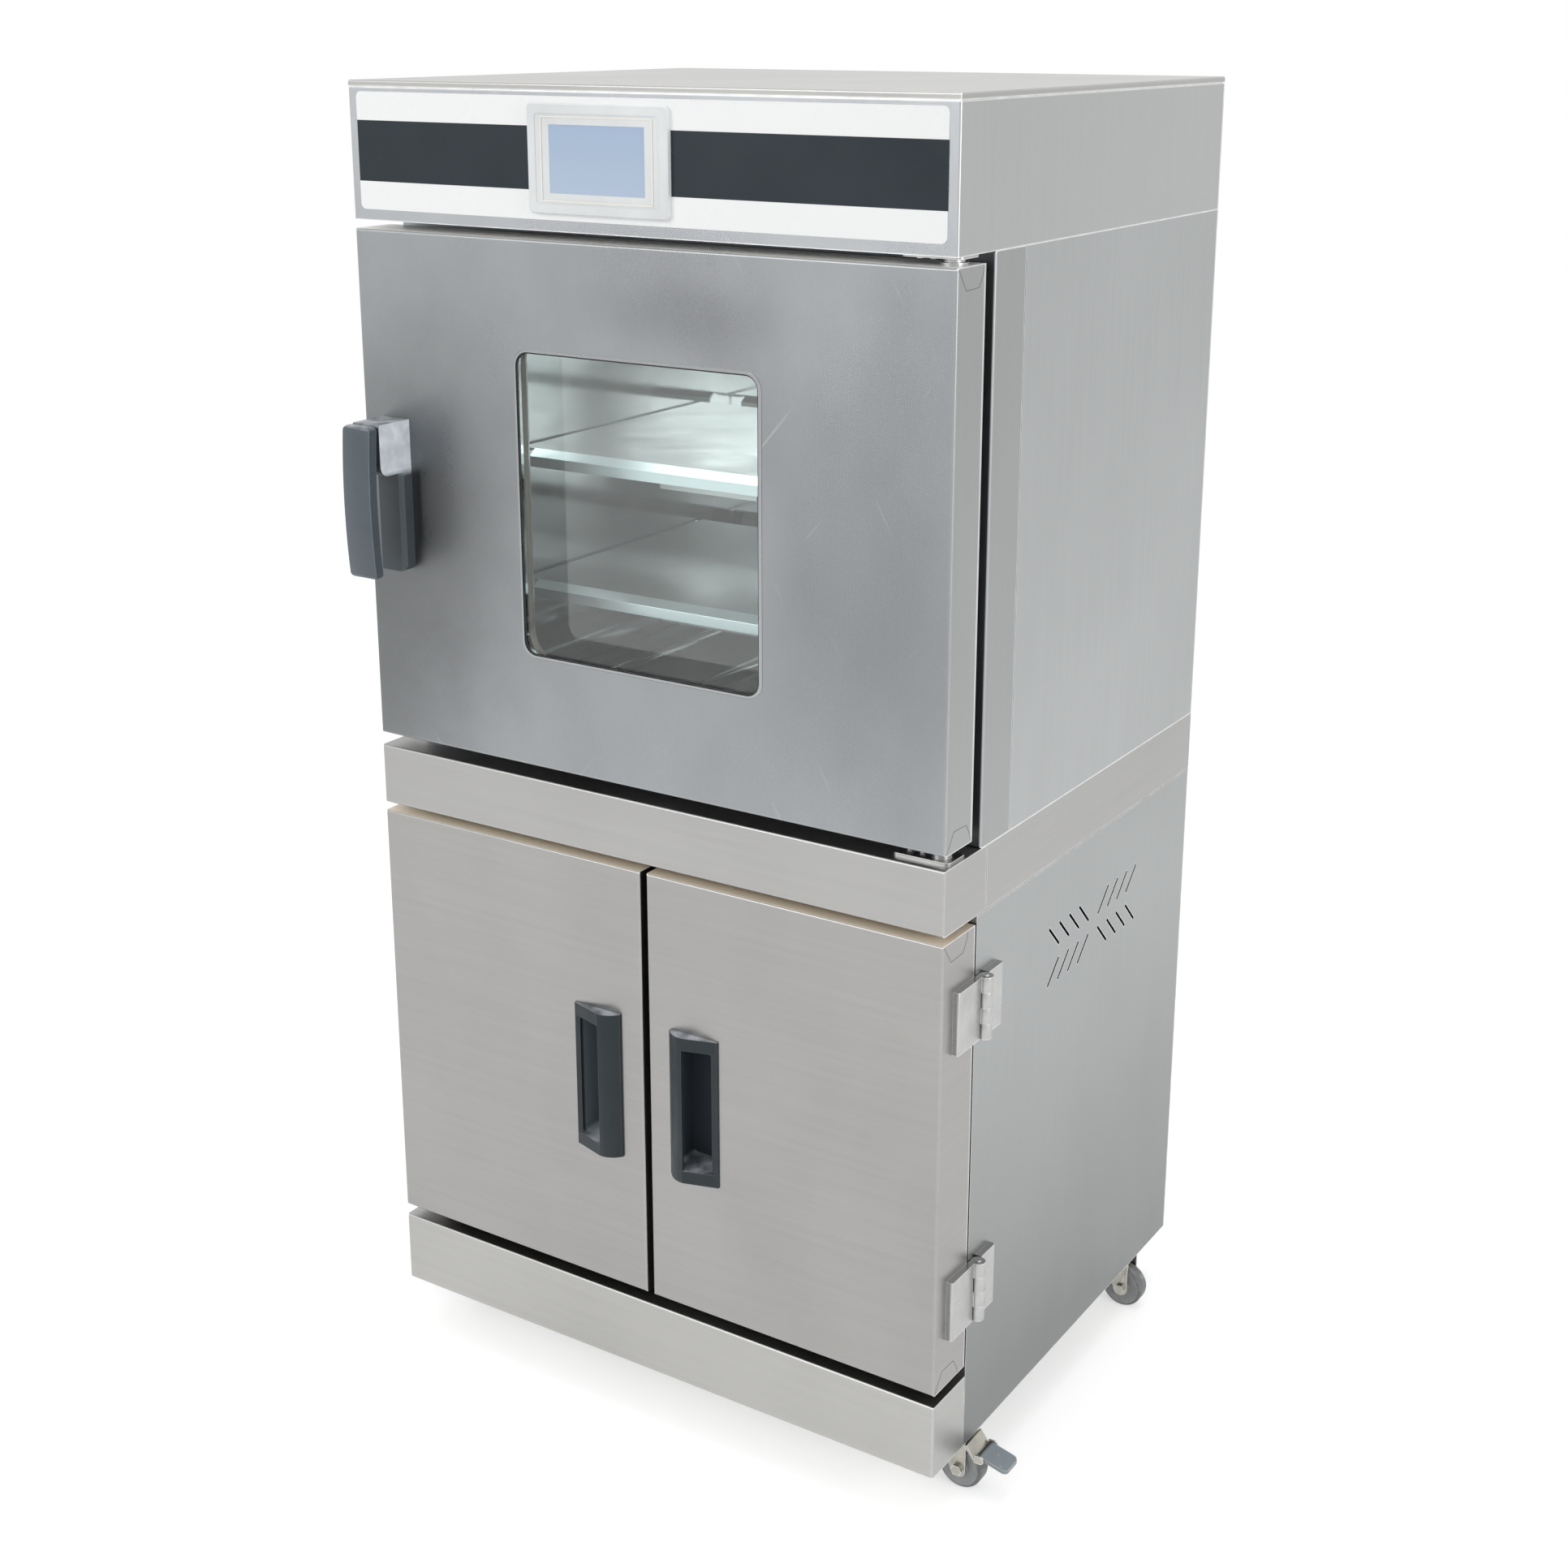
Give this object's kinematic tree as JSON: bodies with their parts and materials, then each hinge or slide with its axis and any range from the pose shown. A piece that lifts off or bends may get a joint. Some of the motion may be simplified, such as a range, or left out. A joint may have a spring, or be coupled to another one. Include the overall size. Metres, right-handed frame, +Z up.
{
  "type": "vacuum drying oven",
  "caption": "Floor-standing vacuum drying oven: windowed hinged door, control head, shelves in a square chamber, and a pump cabinet with two doors on casters.",
  "frame": {"origin": "on the floor under the middle of the outer envelope", "axes": "+X to the right of the oven, +Y from its front to its back, +Z up"},
  "size_m": [0.786, 0.695, 1.432],
  "materials": {
    "stainless_satin": "satin sheet",
    "stainless_embossed": "fine embossed sheet",
    "stainless_polished": "polished",
    "fascia_print": "printed polyester film",
    "panel_plastic": "moulded",
    "screen_glass": "glossy screen",
    "circuit_board": "laminate and cast cases",
    "dark_plastic": "moulded, fine texture",
    "mineral_wool": "pressed wool",
    "heater_rubber": "silicone mat",
    "silicone": "moulded silicone",
    "window_glass": "clear toughened glass",
    "bright_trim": "polished",
    "zinc_steel": "zinc plated",
    "wheel_rubber": "grey tyre",
    "pedal_paint": "grey paint"
  },
  "bodies": {
    "cabinet": {"head_housing": "stainless_satin", "head_back": "stainless_satin", "head_cover": "stainless_satin", "body_side_panels": "stainless_satin", "body_back_panel": "stainless_satin", "band_front": "stainless_satin", "band_rear": "stainless_satin", "cabinet_side_left": "stainless_satin", "cabinet_side_right": "stainless_satin", "cabinet_back": "stainless_satin", "cabinet_floor": "stainless_satin", "plinth": "stainless_satin", "latch_keeper": "stainless_satin", "body_front_frame": "stainless_embossed", "chamber": "stainless_polished", "chamber_floor_pan": "stainless_polished", "shelf_runners": "stainless_polished", "vacuum_port": "stainless_polished", "temperature_probe": "stainless_polished", "fascia_film": "fascia_print", "touch_panel_bezel": "panel_plastic", "touch_panel_screen": "screen_glass", "control_electronics": "circuit_board", "mains_gland": "dark_plastic", "door_catches": "dark_plastic", "insulation": "mineral_wool", "heater_mats": "heater_rubber", "door_seal": "silicone", "pivot_brackets": "zinc_steel", "cabinet_hinge_leaves": "zinc_steel", "caster_plates": "zinc_steel"},
    "oven_door": {"oven_door_skin": "stainless_embossed", "oven_door_lining": "stainless_satin", "oven_door_core": "mineral_wool", "outer_glass": "window_glass", "inner_glass": "window_glass", "window_tunnel": "stainless_polished", "window_bead": "bright_trim", "pivot_bushes": "zinc_steel", "latch_base": "dark_plastic"},
    "door_latch": {"latch_lever": "dark_plastic", "latch_shaft": "zinc_steel"},
    "lower_door_left": {"lower_door_left": "stainless_satin", "pull_left": "dark_plastic", "door_hinge_leaves_left": "zinc_steel"},
    "lower_door_right": {"lower_door_right": "stainless_satin", "pull_right": "dark_plastic", "door_hinge_leaves_right": "zinc_steel"},
    "shelf_lower": {"shelf_lower": "stainless_polished"},
    "shelf_upper": {"shelf_upper": "stainless_polished"},
    "caster_front_right": {"caster_fork_front_right": "zinc_steel"},
    "wheel_front_right": {"caster_wheel_front_right": "wheel_rubber"},
    "pedal_front_right": {"brake_pedal_front_right": "pedal_paint"},
    "caster_front_left": {"caster_fork_front_left": "zinc_steel"},
    "wheel_front_left": {"caster_wheel_front_left": "wheel_rubber"},
    "pedal_front_left": {"brake_pedal_front_left": "pedal_paint"},
    "caster_rear_right": {"caster_fork_rear_right": "zinc_steel"},
    "wheel_rear_right": {"caster_wheel_rear_right": "wheel_rubber"},
    "caster_rear_left": {"caster_fork_rear_left": "zinc_steel"},
    "wheel_rear_left": {"caster_wheel_rear_left": "wheel_rubber"}
  },
  "joints": [
    {"name": "oven_door_hinge", "type": "hinge", "parent": "cabinet", "child": "oven_door", "pos_m": [0.33, -0.2535, 1.0135], "axis": [0, 0, 1], "range_deg": [0, 120]},
    {"name": "latch_turn", "type": "hinge", "parent": "oven_door", "child": "door_latch", "pos_m": [-0.307, -0.2835, 1.066], "axis": [0, -1, 0], "range_deg": [0, 90]},
    {"name": "lower_door_right_hinge", "type": "hinge", "parent": "cabinet", "child": "lower_door_right", "pos_m": [0.358, -0.2095, 0.408], "axis": [0, 0, 1], "range_deg": [0, 170]},
    {"name": "lower_door_left_hinge", "type": "hinge", "parent": "cabinet", "child": "lower_door_left", "pos_m": [-0.358, -0.2095, 0.408], "axis": [0, 0, -1], "range_deg": [0, 170]},
    {"name": "shelf_lower_slide", "type": "slide", "parent": "cabinet", "child": "shelf_lower", "axis": [0, -1, 0], "range_m": [0, 0.03]},
    {"name": "shelf_upper_slide", "type": "slide", "parent": "cabinet", "child": "shelf_upper", "axis": [0, -1, 0], "range_m": [0, 0.03]},
    {"name": "swivel_front_right", "type": "hinge", "parent": "cabinet", "child": "caster_front_right", "pos_m": [0.314, -0.1875, 0.034], "axis": [0, 0, 1], "continuous": true},
    {"name": "roll_front_right", "type": "hinge", "parent": "caster_front_right", "child": "wheel_front_right", "pos_m": [0.336, -0.1875, 0.025], "axis": [0, 1, 0], "continuous": true},
    {"name": "brake_front_right", "type": "hinge", "parent": "caster_front_right", "child": "pedal_front_right", "pos_m": [0.363, -0.1875, 0.0468], "axis": [0, 1, 0], "range_deg": [0, 12]},
    {"name": "swivel_front_left", "type": "hinge", "parent": "cabinet", "child": "caster_front_left", "pos_m": [-0.314, -0.1875, 0.034], "axis": [0, 0, 1], "continuous": true},
    {"name": "roll_front_left", "type": "hinge", "parent": "caster_front_left", "child": "wheel_front_left", "pos_m": [-0.336, -0.1875, 0.025], "axis": [0, 1, 0], "continuous": true},
    {"name": "brake_front_left", "type": "hinge", "parent": "caster_front_left", "child": "pedal_front_left", "pos_m": [-0.363, -0.1875, 0.0468], "axis": [0, -1, 0], "range_deg": [0, 12]},
    {"name": "swivel_rear_right", "type": "hinge", "parent": "cabinet", "child": "caster_rear_right", "pos_m": [0.314, 0.2215, 0.034], "axis": [0, 0, 1], "continuous": true},
    {"name": "roll_rear_right", "type": "hinge", "parent": "caster_rear_right", "child": "wheel_rear_right", "pos_m": [0.336, 0.2215, 0.025], "axis": [0, 1, 0], "continuous": true},
    {"name": "swivel_rear_left", "type": "hinge", "parent": "cabinet", "child": "caster_rear_left", "pos_m": [-0.314, 0.2215, 0.034], "axis": [0, 0, 1], "continuous": true},
    {"name": "roll_rear_left", "type": "hinge", "parent": "caster_rear_left", "child": "wheel_rear_left", "pos_m": [-0.336, 0.2215, 0.025], "axis": [0, 1, 0], "continuous": true}
  ]
}
